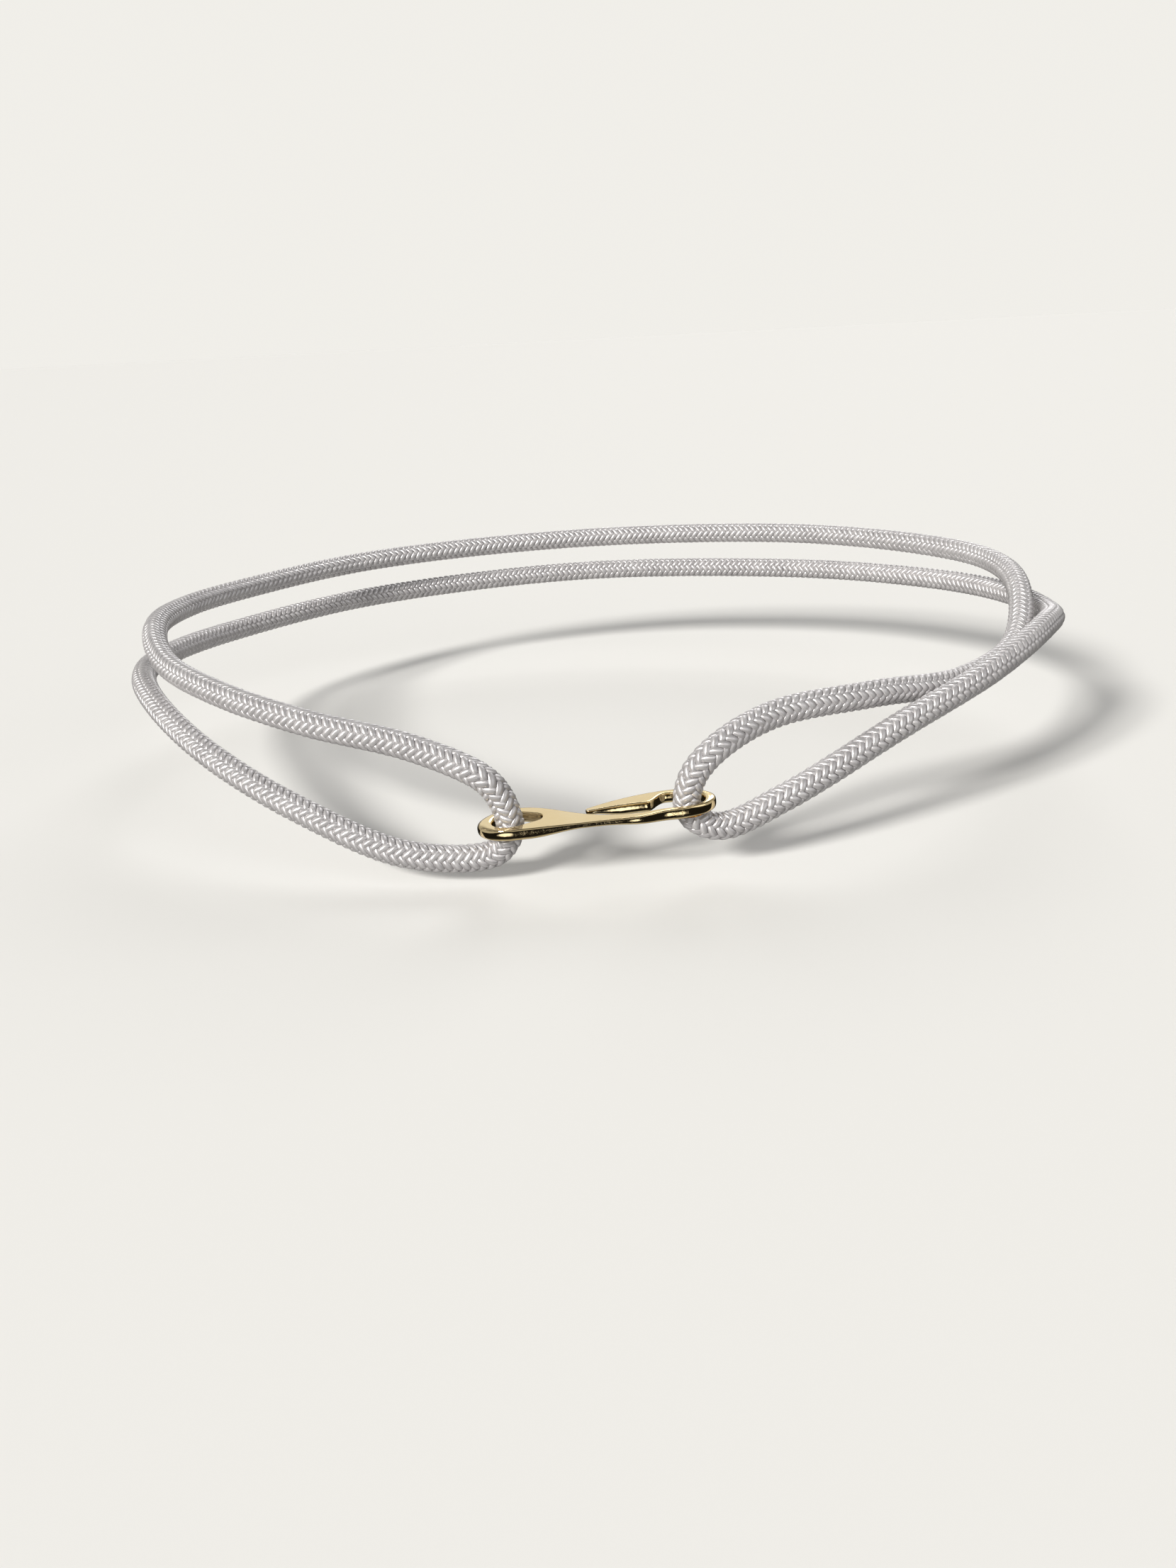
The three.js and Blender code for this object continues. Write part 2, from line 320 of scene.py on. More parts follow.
def yarn_material():
    material, tree, shader = new_material("silky white yarn")
    lay = add_node(tree, "ShaderNodeUVMap", (-1300, 0), uv_map="lay")
    drawn = add_node(tree, "ShaderNodeMapping", (-1100, 0), {"Scale": LINES_DRAWN_OUT})
    lines = add_node(
        tree, "ShaderNodeTexNoise", (-850, 0), {"Scale": 1.0, "Detail": 2.0}, noise_dimensions="4D"
    )
    tone = add_node(tree, "ShaderNodeAttribute", (-1300, -300), attribute_name="tone")
    seed = add_node(tree, "ShaderNodeMath", (-1100, -300), {1: SEED_SPREAD}, operation="MULTIPLY")
    bump = add_node(tree, "ShaderNodeBump", (-300, -300), {"Strength": 0.35, "Distance": 0.0001})
    blend = add_node(
        tree, "ShaderNodeMath", (-850, 250), {1: TONE_SHARE}, operation="MULTIPLY_ADD"
    )
    ramp = add_ramp(tree, YARN_STOPS, (-550, 250))
    run = add_node(tree, "ShaderNodeTangent", (-300, -500), direction_type="UV_MAP", uv_map="lay")
    join(
        tree,
        (lay, "UV", drawn, "Vector"),
        (drawn, "Vector", lines, "Vector"),
        (tone, "Fac", seed, 0),
        (seed, "Value", lines, "W"),
        (lines, "Fac", bump, "Height"),
        (bump, "Normal", shader, "Normal"),
        (tone, "Fac", blend, 0),
        (mottling(tree, 90.0, 0.25, 0.6, (-1100, 450)), "Value", blend, 2),
        (blend, "Value", ramp, "Fac"),
        (ramp, "Color", shader, "Base Color"),
        (mottling(tree, 140.0, 0.28, 0.38, (-550, -50)), "Value", shader, "Roughness"),
        (run, "Tangent", shader, "Tangent"),
    )
    shader.inputs["Metallic"].default_value = 0.5
    shader.inputs["Specular IOR Level"].default_value = 0.9
    shader.inputs["Anisotropic"].default_value = 0.85
    return material


# the core is white yarn, painted dark here as the shade that falls between the floats
def core_shade_material():
    material, tree, shader = new_material("yarn in the rope's depth, painted shade")
    ramp = add_ramp(tree, CORE_SHADE_STOPS, (-350, 200))
    join(
        tree,
        (mottling(tree, 200.0, 0.0, 1.0, (-600, 200)), "Value", ramp, "Fac"),
        (ramp, "Color", shader, "Base Color"),
    )
    shader.inputs["Roughness"].default_value = 0.6
    return material


YARN, CORE_SHADE = yarn_material(), core_shade_material()
print("materials:", YARN.name, "and", CORE_SHADE.name)

# %% [markdown]
# ## One float of yarn
# In this braid each yarn passes over two others and then dives under two. The part that shows is
# called a float: a long low grain, level along its middle, that narrows and sinks at both ends.
# Whole yarns could be drawn as bent tubes, but every one would have to be steered past the others.
# Separate floats look the same, because the crossings are hidden. There are thousands, so each has
# only a few dozen faces. It is drawn flat here, lying along X.

# %% Model the float
CORE_RADIUS, CREST_RADIUS = 2.95, ROPE_DIAMETER / 2 + 0.05
FLOAT_LENGTH, FLOAT_WIDTH = 4.2, 2.1
# towards its ends a float narrows and sags by a share, and dives under the next by a depth in mm
NARROWING, SAG, DIVE = 0.3, 0.1, 0.2
# its foot lies this deep in the core, in mm, and deeper by the second value at the ends
FOOT_DEPTH, FOOT_DROP = 0.12, 0.3
# across the float: sideways place as a share of its half width, height as a share of its crown
SECTION = [(-1.0, 0.0), (-0.74, 0.77), (0.0, 1.0), (0.74, 0.77), (1.0, 0.0)]
ALONG = [-1.0, -0.80, -0.45, 0.0, 0.45, 0.80, 1.0]


def float_mesh():
    crown = CREST_RADIUS - CORE_RADIUS
    points, lay = [], []
    for u in ALONG:
        half_width = FLOAT_WIDTH / 2 * (1 - NARROWING * u**4)
        top = crown * (1 - SAG * u * u) * (1 - u**6) - DIVE * u**6
        foot = -FOOT_DEPTH - FOOT_DROP * u * u
        for across, height in SECTION:
            up = foot + (top - foot) * height
            points.append(Vector((u * FLOAT_LENGTH / 2, across * half_width, up)))
            lay.append((u, across))
    n = len(SECTION)
    faces = []
    for i in range(len(ALONG) - 1):
        for k in range(n):
            a, b = i * n + k, i * n + (k + 1) % n
            faces.append((a, a + n, b + n, b))
    faces += [tuple(range(n)), tuple(range(len(points) - 1, len(points) - n - 1, -1))]
    mesh = bpy.data.meshes.new("float")
    mesh.from_pydata([p * MM for p in points], [], faces)
    uv = mesh.uv_layers.new(name="lay")
    for corner in mesh.loops:
        uv.data[corner.index].uv = lay[corner.vertex_index]
    shape = bmesh.new()
    shape.from_mesh(mesh)
    bmesh.ops.recalc_face_normals(shape, faces=shape.faces)
    shape.to_mesh(mesh)
    shape.free()
    mesh.update()
    return mesh


grain = new_object("float", float_mesh())
print("triangles in a float:", triangles_in(grain.data))

# %% [markdown]
# ## Braiding along the path
# A braid is a flat pattern rolled into a tube. Geometry Nodes first lay the floats out flat, in
# eight ribs whose floats slant to alternate sides, half a step apart. Then one Set Position node
# rolls the sheet round the rope and bends it along the path: X becomes the distance along the
# path, Y the angle round it and Z the height above its core. Because every point is moved by the
# same rule, the floats stretch on the outside of a bend and crowd on its inside, as real ones do.
# A rope is seldom laid quite straight, so Turn says where round the rope the first rib starts, and
# Twist how far the ribs have wound by the other end.

# %% Build the braiding tree
def braid_tree():
    tree = bpy.data.node_groups.new("braid along a path", "GeometryNodeTree")
    face = tree.interface
    face.new_socket("Geometry", in_out="INPUT", socket_type="NodeSocketGeometry")
    for name, kind in (
        ("Path", "Object"), ("Float", "Object"), ("Ribs", "Int"), ("Pitch", "Float"),
        ("Core Radius", "Float"), ("Mean Radius", "Float"), ("Slant", "Float"),
        ("Unevenness", "Float"), ("Turn", "Float"), ("Twist", "Float"),
        ("Yarn", "Material"), ("Core", "Material"),
    ):
        face.new_socket(name, in_out="INPUT", socket_type=f"NodeSocket{kind}")
    face.new_socket("Geometry", in_out="OUTPUT", socket_type="NodeSocketGeometry")
    given = add_node(tree, "NodeGroupInput", (-2200, 0)).outputs
    link = tree.links.new

    def math_node(operation, *values):
        """Arithmetic on numbers or on other nodes' outputs."""
        node = add_node(tree, "ShaderNodeMath", operation=operation)
        for socket, value in zip(node.inputs, values):
            if isinstance(value, (int, float)):
                socket.default_value = value
            else:
                link(value, socket)
        return node.outputs["Value"]

    def scatter(low, high, seed, at):
        """A random share of the unevenness, different for each float."""
        node = add_node(tree, "FunctionNodeRandomValue", at, data_type="FLOAT")
        sockets = {s.name: s for s in node.inputs if s.enabled}
        sockets["Min"].default_value, sockets["Max"].default_value = low, high
        sockets["Seed"].default_value = seed
        return next(s for s in node.outputs if s.enabled)

    path = add_node(tree, "GeometryNodeObjectInfo", (-2000, 300))
    link(given["Path"], path.inputs["Object"])
    curve = path.outputs["Geometry"]
    length = add_node(tree, "GeometryNodeCurveLength", (-1800, 300))
    link(curve, length.inputs["Curve"])
    rows = math_node("ROUND", math_node("DIVIDE", length.outputs["Length"], given["Pitch"]))
    step = math_node("DIVIDE", length.outputs["Length"], rows)

    index = add_node(tree, "GeometryNodeInputIndex", (-1800, -200)).outputs["Index"]
    row = math_node("FLOOR", math_node("DIVIDE", index, given["Ribs"]))
    rib = math_node("FLOORED_MODULO", index, given["Ribs"])
    odd = math_node("FLOORED_MODULO", rib, 2)
    girth = math_node("MULTIPLY", given["Mean Radius"], 2 * math.pi)
    rib_width = math_node("DIVIDE", girth, given["Ribs"])
    ahead_by = math_node("MULTIPLY_ADD", odd, 0.5, 0.25)
    place = add_node(tree, "ShaderNodeCombineXYZ", (-1100, -200))
    link(math_node("MULTIPLY", math_node("ADD", row, ahead_by), step), place.inputs["X"])
    link(math_node("MULTIPLY", math_node("ADD", rib, 0.5), rib_width), place.inputs["Y"])

    points = add_node(tree, "GeometryNodePoints", (-900, 0))
    link(math_node("MULTIPLY", rows, given["Ribs"]), points.inputs["Count"])
    link(place.outputs["Vector"], points.inputs["Position"])

    side = math_node("MULTIPLY_ADD", odd, -2.0, 1.0)
    lean = math_node("MULTIPLY", side, given["Slant"])
    sway = math_node("MULTIPLY", scatter(-1, 1, 3, (-1300, -600)), given["Unevenness"])
    euler = add_node(tree, "ShaderNodeCombineXYZ", (-900, -300))
    link(math_node("ADD", lean, sway), euler.inputs["Z"])
    rotation = add_node(tree, "FunctionNodeEulerToRotation", (-700, -300))
    link(euler.outputs["Vector"], rotation.inputs["Euler"])
    size = add_node(tree, "ShaderNodeCombineXYZ", (-700, -500))
    for axis, seed in (("X", 11), ("Y", 12), ("Z", 13)):
        swell = math_node("MULTIPLY", scatter(-1, 1, seed, (-1300, -700)), given["Unevenness"])
        link(math_node("ADD", swell, 1.0), size.inputs[axis])

    grains = add_node(tree, "GeometryNodeObjectInfo", (-900, 200))
    link(given["Float"], grains.inputs["Object"])
    laid = add_node(tree, "GeometryNodeInstanceOnPoints", (-500, 0))
    link(points.outputs[0], laid.inputs["Points"])
    link(grains.outputs["Geometry"], laid.inputs["Instance"])
    link(rotation.outputs["Rotation"], laid.inputs["Rotation"])
    link(size.outputs["Vector"], laid.inputs["Scale"])
    kind, name = "GeometryNodeStoreNamedAttribute", {"Name": "tone"}
    tone = add_node(tree, kind, (-300, 0), name, data_type="FLOAT", domain="INSTANCE")
    link(laid.outputs["Instances"], tone.inputs["Geometry"])
    tone_value = next(s for s in tone.inputs if s.name == "Value" and s.enabled)
    link(scatter(0, 1, 21, (-500, -300)), tone_value)
    flat = add_node(tree, "GeometryNodeRealizeInstances", (-100, 0))
    link(tone.outputs["Geometry"], flat.inputs["Geometry"])

    here = add_node(tree, "GeometryNodeInputPosition", (-900, -800))
    parts = add_node(tree, "ShaderNodeSeparateXYZ", (-700, -800))
    link(here.outputs["Position"], parts.inputs["Vector"])
    way_round = math_node("DIVIDE", parts.outputs["Y"], given["Mean Radius"])
    so_far = math_node("DIVIDE", parts.outputs["X"], length.outputs["Length"])
    turned = math_node("ADD", given["Turn"], math_node("MULTIPLY", so_far, given["Twist"]))
    angle = math_node("ADD", way_round, turned)
    radius = math_node("ADD", parts.outputs["Z"], given["Core Radius"])
    along = add_node(tree, "GeometryNodeSampleCurve", (-500, -800), mode="LENGTH")
    link(curve, along.inputs["Curves"])
    link(parts.outputs["X"], along.inputs["Length"])
    binormal = add_node(tree, "ShaderNodeVectorMath", (-300, -900), operation="CROSS_PRODUCT")
    link(along.outputs["Tangent"], binormal.inputs[0])
    link(along.outputs["Normal"], binormal.inputs[1])

    def scaled(vector, amount):
        node = add_node(tree, "ShaderNodeVectorMath", (-100, -900), operation="SCALE")
        link(vector, node.inputs[0])
        link(amount, node.inputs["Scale"])
        return node.outputs["Vector"]

    def added(a, b):
        node = add_node(tree, "ShaderNodeVectorMath", (100, -900), operation="ADD")
        link(a, node.inputs[0])
        link(b, node.inputs[1])
        return node.outputs["Vector"]

    out_by = math_node("MULTIPLY", math_node("COSINE", angle), radius)
    across_by = math_node("MULTIPLY", math_node("SINE", angle), radius)
    out = scaled(along.outputs["Normal"], out_by)
    across = scaled(binormal.outputs["Vector"], across_by)
    rolled = add_node(tree, "GeometryNodeSetPosition", (300, 0))
    link(flat.outputs["Geometry"], rolled.inputs["Geometry"])
    link(added(added(along.outputs["Position"], out), across), rolled.inputs["Position"])
    yarn = add_node(tree, "GeometryNodeSetMaterial", (500, 0))
    link(rolled.outputs["Geometry"], yarn.inputs["Geometry"])
    link(given["Yarn"], yarn.inputs["Material"])

    # the core tube shows in the gaps between the floats and takes the material painted dark as
    # their shade
    ring = add_node(tree, "GeometryNodeCurvePrimitiveCircle", (-100, 500), {"Resolution": 12})
    link(given["Core Radius"], ring.inputs["Radius"])
    spaced = add_node(tree, "GeometryNodeResampleCurve", (-100, 300))
    link(curve, spaced.inputs["Curve"])
    link(rows, spaced.inputs["Count"])
    tube = add_node(tree, "GeometryNodeCurveToMesh", (100, 300), {"Fill Caps": True})
    link(spaced.outputs["Curve"], tube.inputs["Curve"])
    link(ring.outputs["Curve"], tube.inputs["Profile Curve"])
    core = add_node(tree, "GeometryNodeSetMaterial", (300, 300))
    link(tube.outputs["Mesh"], core.inputs["Geometry"])
    link(given["Core"], core.inputs["Material"])

    both = add_node(tree, "GeometryNodeJoinGeometry", (700, 0))
    link(yarn.outputs["Geometry"], both.inputs["Geometry"])
    link(core.outputs["Geometry"], both.inputs["Geometry"])
    smooth = add_node(tree, "GeometryNodeSetShadeSmooth", (900, 0))
    link(both.outputs["Geometry"], smooth.inputs["Geometry"])
    end = add_node(tree, "NodeGroupOutput", (1100, 0))
    link(smooth.outputs["Geometry"], end.inputs["Geometry"])
    return tree


BRAID = braid_tree()
print("nodes in the braiding tree:", len(BRAID.nodes))

# %% [markdown]
# ## Two strands of one rope
# The rope is endless, and its two halves meet inside the holes of the clasp, where the plate hides
# the joint. Each half is a mesh of its own, to keep the meshes small, and runs on into the other
# by a millimetre or so.

# %% Make the two strands
OVERRUN = 1.3
# PITCH is from float to float along the rope, and the sheet is as wide as the girth at MEAN_RADIUS
RIBS, PITCH, MEAN_RADIUS = 8, 2.2, 3.3
SLANT = math.radians(57)
UNEVENNESS = 0.035
# where each strand's first rib starts, and how far its ribs wind by the end, in degrees
UPPER_LAY, LOWER_LAY = (62, -29), (50, 0)


def path_object(name, line):
    """A curve of one open spline along the line, a little longer at both ends."""
    first = line[0] + (line[0] - line[1]).normalized() * OVERRUN
    last = line[-1] + (line[-1] - line[-2]).normalized() * OVERRUN
    points = [first] + line + [last]
    data = bpy.data.curves.new(name, "CURVE")
    data.dimensions = "3D"
    spline = data.splines.new("POLY")
    spline.points.add(len(points) - 1)
    for point, place in zip(spline.points, points):
        point.co = (*(place * MM), 1)
    return new_object(name, data)


def braid(name, line, turn, twist):
    """Braids a strand along the line, as a mesh; gives back its object and its path's points."""
    path = path_object(name + " path", line)
    host = new_object(name + " host", bpy.data.meshes.new(name + " host"))
    modifier = host.modifiers.new("braid", "NODES")
    modifier.node_group = BRAID
    sockets = {s.name: s.identifier for s in BRAID.interface.items_tree if s.in_out == "INPUT"}
    for socket, value in (
        ("Path", path), ("Float", grain), ("Ribs", RIBS), ("Pitch", PITCH * MM),
        ("Core Radius", CORE_RADIUS * MM), ("Mean Radius", MEAN_RADIUS * MM), ("Slant", SLANT),
        ("Unevenness", UNEVENNESS), ("Turn", math.radians(turn)), ("Twist", math.radians(twist)),
        ("Yarn", YARN), ("Core", CORE_SHADE),
    ):
        modifier[sockets[socket]] = value
    host.update_tag()
    bpy.context.view_layer.update()
    seen = host.evaluated_get(bpy.context.evaluated_depsgraph_get())
    mesh = bpy.data.meshes.new_from_object(seen)
    mesh.name = name
    piece = new_object(name, mesh)
    bpy.data.objects.remove(host)
    points = [tuple(p.co[:3]) for p in path.data.splines[0].points]
    bpy.data.objects.remove(path)
    print(name, "triangles:", triangles_in(mesh))
    return piece, points


upper, upper_points = braid("rope_upper", upper_line, *UPPER_LAY)
lower, lower_points = braid("rope_lower", lower_line, *LOWER_LAY)
bpy.data.objects.remove(grain)

# %% Give the strands to the frame
for strand, points in ((upper, upper_points), (lower, lower_points)):
    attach(strand, "root")
    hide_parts("rope_loop")
print("strands placed")

# %% [markdown]
# ## The clasp
# The clasp is a flat cast plate, 3 mm thick, whose outline bends twice: a closed eye, a slim shank
# and a hook. A box with cuts would leave hard corners that a polished casting doesn't have, so the
# outline is drawn as a closed line, repeated at several heights with small insets to round the
# edges, and closed with a flat face above and below. At the two ends the insets grow, so the edge
# is rounder there, and the underside is raised along the shank and at the tongue's tip, where the
# plate's front edge shows that it is thinner.

# %% Draw the outline
EYE_SIDE_WALL, EYE_OVAL_SHARE = 2.3, 0.158
EYE_SLOT_LENGTH, EYE_TIP_RADIUS = 12.6, 2.3
EYE_HALF_WIDTH = HOLE_RADIUS + EYE_SIDE_WALL
SEAT_FRONT_WALL, SEAT_BACK_WALL = 1.6, 2.0
SHANK_WIDTH, SHANK_RELIEF, CHANNEL_WIDTH = 2.7, 1.4, 5.9
TONGUE_LENGTH, TONGUE_DROOP = 24.4, 0.6
TONGUE_TIP, TONGUE_TIP_THICKNESS, TONGUE_TAPER = 0.9, 1.4, 9.0
# places along the hook, in hole radii before the middle of the seat
HOOK = {
    "start": 0.67, "mouth": 1.05, "tongue_end": 2.2, "back_leaves": 2.3, "neck_start": 2.85,
    "shank_end": 3.2, "back_arrives": 4.1,
}
HOOK_BACK_FALL = 0.66
SHANK_BACK = -EYE_HALF_WIDTH + SHANK_WIDTH
TONGUE_FRONT = SHANK_BACK + CHANNEL_WIDTH
TIP = Vector((SEAT.x - TONGUE_LENGTH, TONGUE_FRONT - TONGUE_DROOP))
POINT_GAP = 0.35


def arc(centre, radii, start, end):
    """Points from one angle to another, in degrees, round an oval; the last one is left out."""
    steps = max(6, round(math.radians(abs(end - start)) * max(radii) / POINT_GAP))
    line = []
    for i in range(steps):
        angle = math.radians(start + (end - start) * i / steps)
        along, up = radii[0] * math.cos(angle), radii[1] * math.sin(angle)
        line.append((centre[0] + along, centre[1] + up))
    return line


def pulled(start, pull_a, pull_b, end):
    """Points of a curve that leaves start towards pull_a and reaches end from pull_b."""
    steps = max(4, round(math.dist(start, end) / POINT_GAP))
    line = []
    for i in range(steps):
        t = i / steps
        weights = ((1 - t) ** 3, 3 * t * (1 - t) ** 2, 3 * t * t * (1 - t), t**3)
        corners = (start, pull_a, pull_b, end)
        line.append(tuple(sum(w * c[k] for w, c in zip(weights, corners)) for k in (0, 1)))
    return line


def step_to(start, end, leave=0.45, arrive=0.45):
    """A smooth step that starts and ends along the plate."""
    run = end[0] - start[0]
    return pulled(start, (start[0] + leave * run, start[1]), (end[0] - arrive * run, end[1]), end)


def straight(start, end):
    return pulled(start, start, end, end)


def from_seat(share):
    return SEAT.x - share * HOLE_RADIUS


def plate_outline():
    front, back = SEAT.y - HOLE_RADIUS, SEAT.y + HOLE_RADIUS
    half_width = HOLE_RADIUS + (SEAT_FRONT_WALL + SEAT_BACK_WALL) / 2
    middle = SEAT.y + (SEAT_BACK_WALL - SEAT_FRONT_WALL) / 2
    hook_back = back + SEAT_BACK_WALL
    start = from_seat(HOOK["start"])
    run = EYE_OVAL_SHARE * PLATE_LENGTH
    eye_middle = -PLATE_LENGTH / 2 + run
    shank_end = (from_seat(HOOK["shank_end"]), -EYE_HALF_WIDTH)
    mouth_back, mouth_front = (from_seat(HOOK["mouth"]), back), (from_seat(HOOK["mouth"]), front)
    neck_start = (from_seat(HOOK["neck_start"]), SHANK_BACK)
    tongue_end = (from_seat(HOOK["tongue_end"]), TONGUE_FRONT)
    tip_back, tip_front = (TIP.x, TIP.y + TONGUE_TIP), (TIP.x, TIP.y - TONGUE_TIP)
    line = arc((eye_middle, 0), (run, EYE_HALF_WIDTH), 180, 270)
    line += straight((eye_middle, -EYE_HALF_WIDTH), shank_end)
    line += step_to(shank_end, (start, front - SEAT_FRONT_WALL))
    line += arc((start, middle), (PLATE_LENGTH / 2 - start, half_width), -90, 90)
    line += pulled(
        (start, hook_back), (from_seat(HOOK["back_leaves"]), hook_back),
        (from_seat(HOOK["back_arrives"]), HOOK_BACK_FALL * hook_back), tip_back,
    )
    line += arc(TIP, (TONGUE_TIP, TONGUE_TIP), 90, 270)
    line += step_to(tip_front, tongue_end, leave=0.15, arrive=0.6)
    line += step_to(tongue_end, mouth_back)
    line += straight(mouth_back, (SEAT.x, back))
    line += arc(SEAT, (HOLE_RADIUS, HOLE_RADIUS), 90, -90)
    line += straight((SEAT.x, front), mouth_front)
    line += step_to(mouth_front, neck_start)
    line += step_to(neck_start, (eye_middle, EYE_HALF_WIDTH), leave=0.5, arrive=0.35)
    line += arc((eye_middle, 0), (run, EYE_HALF_WIDTH), 90, 180)
    return line


def eye_outline():
    """A drop: round at the rope, tapering towards the middle of the plate."""
    tip_x = EYE.x - HOLE_RADIUS + EYE_SLOT_LENGTH - EYE_TIP_RADIUS
    spread = math.degrees(math.acos((HOLE_RADIUS - EYE_TIP_RADIUS) / (tip_x - EYE.x)))
    across, up = math.cos(math.radians(spread)), math.sin(math.radians(spread))
    line = arc((tip_x, 0), (EYE_TIP_RADIUS, EYE_TIP_RADIUS), spread, -spread)
    round_end = arc(EYE, (HOLE_RADIUS, HOLE_RADIUS), -spread, spread - 360)
    tip_ends = (tip_x + EYE_TIP_RADIUS * across, -EYE_TIP_RADIUS * up)
    line += straight(tip_ends, round_end[0]) + round_end
    return line + straight((EYE.x + HOLE_RADIUS * across, HOLE_RADIUS * up), line[0])


outline, drop = plate_outline(), eye_outline()
print("points round the plate:", len(outline), " round the eye:", len(drop))

# %% Round the edges
# how far each edge reaches in, in mm, and how square it is: 2 is round, and more is squarer
TOP_EDGE, TOP_SQUARENESS = 0.45, 4.2
END_EDGE, END_SQUARENESS = 1.7, 2.2
UNDER_EDGE, UNDER_SQUARENESS = 0.85, 2.5
TOP_ANGLES = (90, 78, 66, 54, 42, 28, 12)
UNDER_ANGLES = (0, -14, -28, -42, -54, -66, -78, -90)
FACE_MARGIN = 0.12


def side_profile(top_edge, top_squareness):
    """Steps down the side of the plate: the inset from the outline and the height, in mm."""
    half = PLATE_THICKNESS / 2
    steps = [(top_edge + FACE_MARGIN, half)]
    for edge, squareness, angles in (
        (top_edge, top_squareness, TOP_ANGLES), (UNDER_EDGE, UNDER_SQUARENESS, UNDER_ANGLES),
    ):
        for angle in angles:
            across, up = math.cos(math.radians(angle)), math.sin(math.radians(angle))
            reach = abs(across) ** (2 / squareness)
            height = math.copysign(abs(up) ** (2 / squareness), up)
            steps.append((edge * (1 - reach), half * height))
    return steps + [(UNDER_EDGE + FACE_MARGIN, -half)]


SIDE = side_profile(TOP_EDGE, TOP_SQUARENESS)
END_SIDE = side_profile(END_EDGE, END_SQUARENESS)
print("steps down the side:", len(SIDE))

# %% Where the plate's form changes
# rounder ends: how far from each end the rounder edge is whole and is gone, in mm
EYE_END, SEAT_END, SEAT_END_SHARE = (0.5, 7.5), (1, 7), 0.5
# the front wall's grain fades in and out between these places along the plate, in mm
GRAIN_IN, GRAIN_OUT, FAINT_GRAIN = (-22, -18), (22, 27), 0.15
# the thin shank starts and is whole past the eye, and ends before the seat, in hole radii
THIN_PAST_EYE, THIN_BEFORE_SEAT = (1, 4), (4.7, 0.6)
TIP_MARGIN = 1.1


def smoothstep(low, high, value):
    t = min(1.0, max(0.0, (value - low) / (high - low)))
    return t * t * (3 - 2 * t)


def endness(x):
    """How much of the rounder edge a place has: all at the eye's end, half at the seat's."""
    half = PLATE_LENGTH / 2
    at_seat = smoothstep(half - SEAT_END[1], half - SEAT_END[0], x)
    return 1 - smoothstep(-half + EYE_END[0], -half + EYE_END[1], x) + SEAT_END_SHARE * at_seat


def inset_ring(line, step):
    """The outline at one step down the side, moved into the plate, as points and their insets."""
    ring = []
    for i, here in enumerate(line):
        before, after = line[i - 1], line[(i + 1) % len(line)]
        run = Vector((after[0] - before[0], after[1] - before[1])).normalized()
        share = endness(here[0])
        amount, height = [a + (b - a) * share for a, b in zip(SIDE[step], END_SIDE[step])]
        ring.append(((here[0] - run.y * amount, here[1] + run.x * amount, height), amount))
    return ring


def graininess(place):
    """The cast grain is strongest along the front of the shank, and faint elsewhere on the side."""
    if place[1] >= SHANK_BACK:
        return FAINT_GRAIN
    strong = smoothstep(*GRAIN_IN, place[0]) * (1 - smoothstep(*GRAIN_OUT, place[0]))
    return FAINT_GRAIN + (1 - FAINT_GRAIN) * strong


def thinned(x, y, z):
    """The underside is higher along the shank and towards the tongue's tip."""
    on_tongue = y > (SHANK_BACK + TONGUE_FRONT) / 2 and x > TIP.x - TIP_MARGIN * TONGUE_TIP
    to_tip = 1 - smoothstep(TIP.x, TIP.x + TONGUE_TAPER, x)
    past_eye = smoothstep(*[EYE.x + radii * HOLE_RADIUS for radii in THIN_PAST_EYE], x)
    before_seat = 1 - smoothstep(*[from_seat(radii) for radii in THIN_BEFORE_SEAT], x)
    near_front = 1 - smoothstep(SHANK_BACK, SHANK_BACK + SHANK_WIDTH, y)
    lift = SHANK_RELIEF * past_eye * before_seat * near_front
    if on_tongue:
        lift = (PLATE_THICKNESS - TONGUE_TIP_THICKNESS) * to_tip
    top = PLATE_THICKNESS / 2
    return top - (top - z) * (1 - lift / PLATE_THICKNESS)


print("rounder edge at the two ends:", endness(-PLATE_LENGTH / 2), "and", endness(PLATE_LENGTH / 2))

# %% Close the plate
# the faces are cut across and along, so that they can bend: axis, first and last place, gap in mm
SLICES = ((0, -30, 30, 1.2), (1, -7, 9, 0.8))
FACE_INSET = 0.15


def clasp_mesh():
    shape = bmesh.new()
    wall = shape.verts.layers.float.new("wall")
    caps = {}
    for line in (outline, drop):
        rings = []
        for step in range(len(SIDE)):
            ring = []
            for place, amount in inset_ring(line, step):
                ring.append(shape.verts.new(place))
                ring[-1][wall] = graininess(place) if amount < FACE_INSET else 0.0
            rings.append(ring)
        for high, low in zip(rings, rings[1:]):
            for i in range(len(line)):
                shape.faces.new((high[i - 1], low[i - 1], low[i], high[i]))
        caps.setdefault("top", []).append(rings[0])
        caps.setdefault("bottom", []).append(rings[-1])
    for loops in caps.values():
        corners = [vert for loop in loops for vert in loop]
        for triangle in tessellate_polygon([[vert.co for vert in loop] for loop in loops]):
            shape.faces.new([corners[i] for i in triangle])
    bmesh.ops.recalc_face_normals(shape, faces=shape.faces)
    for axis, first, last, gap in SLICES:
        for k in range(1, round((last - first) / gap)):
            at, normal = Vector((0, 0, 0)), Vector((0, 0, 0))
            at[axis], normal[axis] = first + k * gap, 1
            whole_shape = shape.verts[:] + shape.edges[:] + shape.faces[:]
            bmesh.ops.bisect_plane(
                shape, geom=whole_shape, dist=0.01, plane_co=at, plane_no=normal
            )
    for vert in shape.verts:
        vert.co.z = thinned(*vert.co)
    for face in shape.faces:
        face.smooth = True
    bmesh.ops.transform(shape, matrix=Matrix.Scale(MM, 4) @ plate_at, verts=shape.verts)
    mesh = bpy.data.meshes.new("hook clasp")
    shape.to_mesh(mesh)
    shape.free()
    return mesh


plate = new_object("clasp_plate", clasp_mesh())
print("triangles in the clasp:", triangles_in(plate.data))

